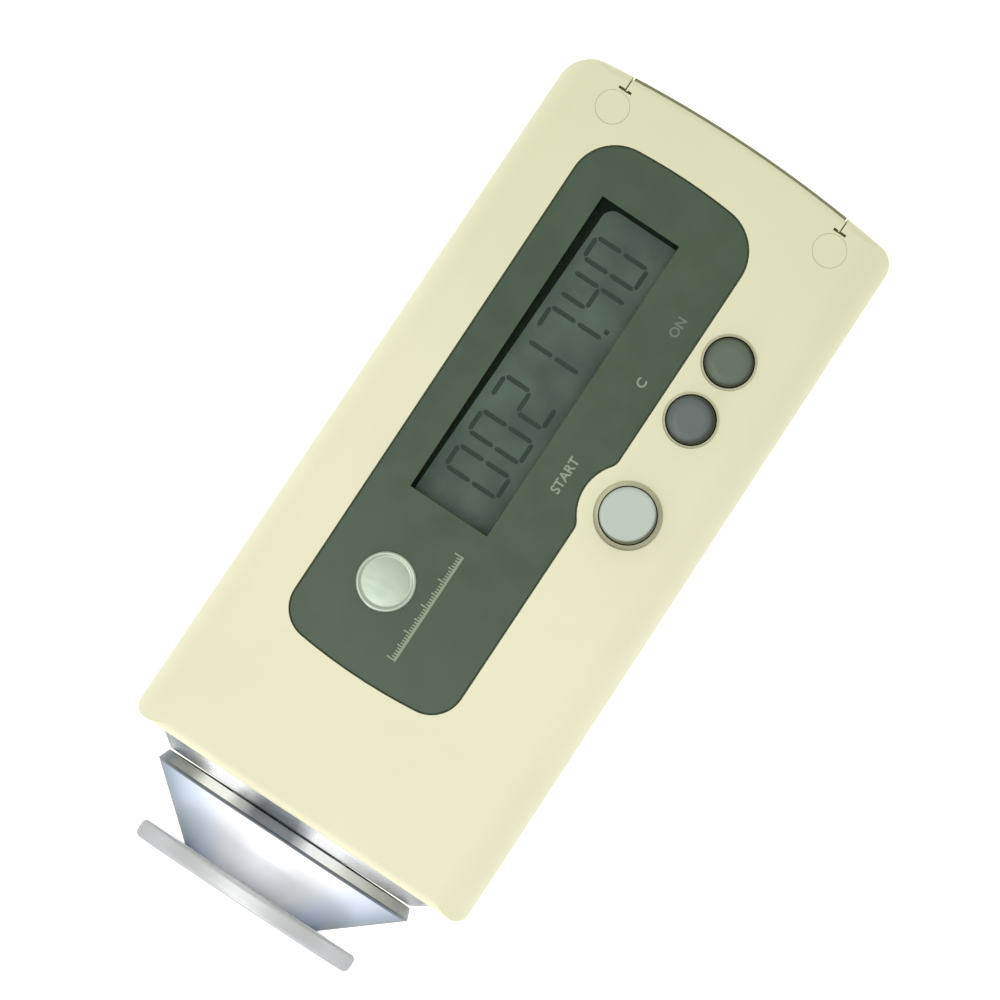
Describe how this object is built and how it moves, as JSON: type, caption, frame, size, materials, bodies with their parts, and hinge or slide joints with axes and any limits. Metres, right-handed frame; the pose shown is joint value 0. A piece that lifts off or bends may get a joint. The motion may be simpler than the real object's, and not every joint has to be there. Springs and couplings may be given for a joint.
{
  "type": "digital measuring wheel",
  "caption": "Pocket electronic measuring wheel: a boxy case with display and keys, and a thin measuring disc on a conical hub that spins at one end.",
  "frame": {"origin": "middle of the bounding box on the plane of the flat back", "axes": "+X along the display's reading direction, away from the wheel; +Y towards the top of the display; +Z out of the face"},
  "size_m": [0.1144, 0.0492, 0.0436],
  "materials": {
    "case_plastic": "fine matt moulded plastic",
    "window": "glossy, dark printed back, clear over the display",
    "light_key": "satin",
    "dark_key": "satin",
    "polished_metal": "polished",
    "wheel_rim": "fine satin",
    "steel": "turned",
    "bearing_steel": "ground",
    "brass": "turned",
    "board": "solder resist",
    "black_plastic": "satin",
    "rubber": "matt",
    "lcd": "reflective display cell",
    "battery_wrap": "plain wrap",
    "nickel": "nickel plate",
    "cage_plastic": "moulded"
  },
  "bodies": {
    "case": {"front_cover": "case_plastic", "rear_cover": "case_plastic", "display_window": "window", "screw_plugs": "case_plastic", "front_screws": "steel", "rear_screws": "steel", "door_hinge_pin": "steel", "battery_block": "battery_wrap", "battery_positive_terminal": "nickel", "battery_negative_terminal": "nickel", "contact_board": "board", "contact_socket": "nickel", "contact_stud": "nickel", "header_pins": "brass", "lcd_glass": "lcd", "lcd_frame": "black_plastic", "zebra_strips": "rubber", "main_board": "board", "board_screws": "steel", "controller_chip": "black_plastic", "crystal": "steel", "capacitors": "black_plastic", "regulator": "black_plastic", "switch_bodies": "black_plastic", "photo_interrupter": "black_plastic", "bearing_collar": "polished_metal", "collar_nut": "brass", "bearing_outer_rings": "bearing_steel"},
    "wheel": {"wheel_hub": "polished_metal", "wheel_disc": "wheel_rim", "hub_washer": "polished_metal", "hub_screw": "steel", "spindle": "steel", "bearing_inner_rings": "bearing_steel", "bearing_spacer": "steel", "encoder_hub": "brass", "encoder_disc": "black_plastic", "encoder_clamp": "brass"},
    "ball_train": {"bearing_balls": "bearing_steel", "bearing_cages": "cage_plastic"},
    "main_key": {"main_button": "light_key", "main_plunger": "black_plastic"},
    "left_small_key": {"left_small_button": "dark_key", "left_small_plunger": "black_plastic"},
    "right_small_key": {"right_small_button": "dark_key", "right_small_plunger": "black_plastic"},
    "door": {"battery_door": "case_plastic"}
  },
  "joints": [
    {"name": "wheel_spin", "type": "hinge", "parent": "case", "child": "wheel", "pos_m": [0, 0, 0.021], "axis": [1, 0, 0], "continuous": true},
    {"name": "ball_train_spin", "type": "hinge", "parent": "case", "child": "ball_train", "pos_m": [0, 0, 0.021], "axis": [1, 0, 0], "continuous": true},
    {"name": "main_key_press", "type": "slide", "parent": "case", "child": "main_key", "axis": [0, 0, -1], "range_m": [0, 0.0006], "stiffness_N_per_m": 1500},
    {"name": "left_small_key_press", "type": "slide", "parent": "case", "child": "left_small_key", "axis": [0, 0, -1], "range_m": [0, 0.0005], "stiffness_N_per_m": 1500},
    {"name": "right_small_key_press", "type": "slide", "parent": "case", "child": "right_small_key", "axis": [0, 0, -1], "range_m": [0, 0.0005], "stiffness_N_per_m": 1500},
    {"name": "battery_door_swing", "type": "hinge", "parent": "case", "child": "door", "pos_m": [0.0542, 0, 0.0026], "axis": [0, 1, 0], "range_deg": [0, 88]}
  ],
  "couplings": [
    {"joint": "ball_train_spin", "follows": "wheel_spin", "ratio": 0.36}
  ]
}
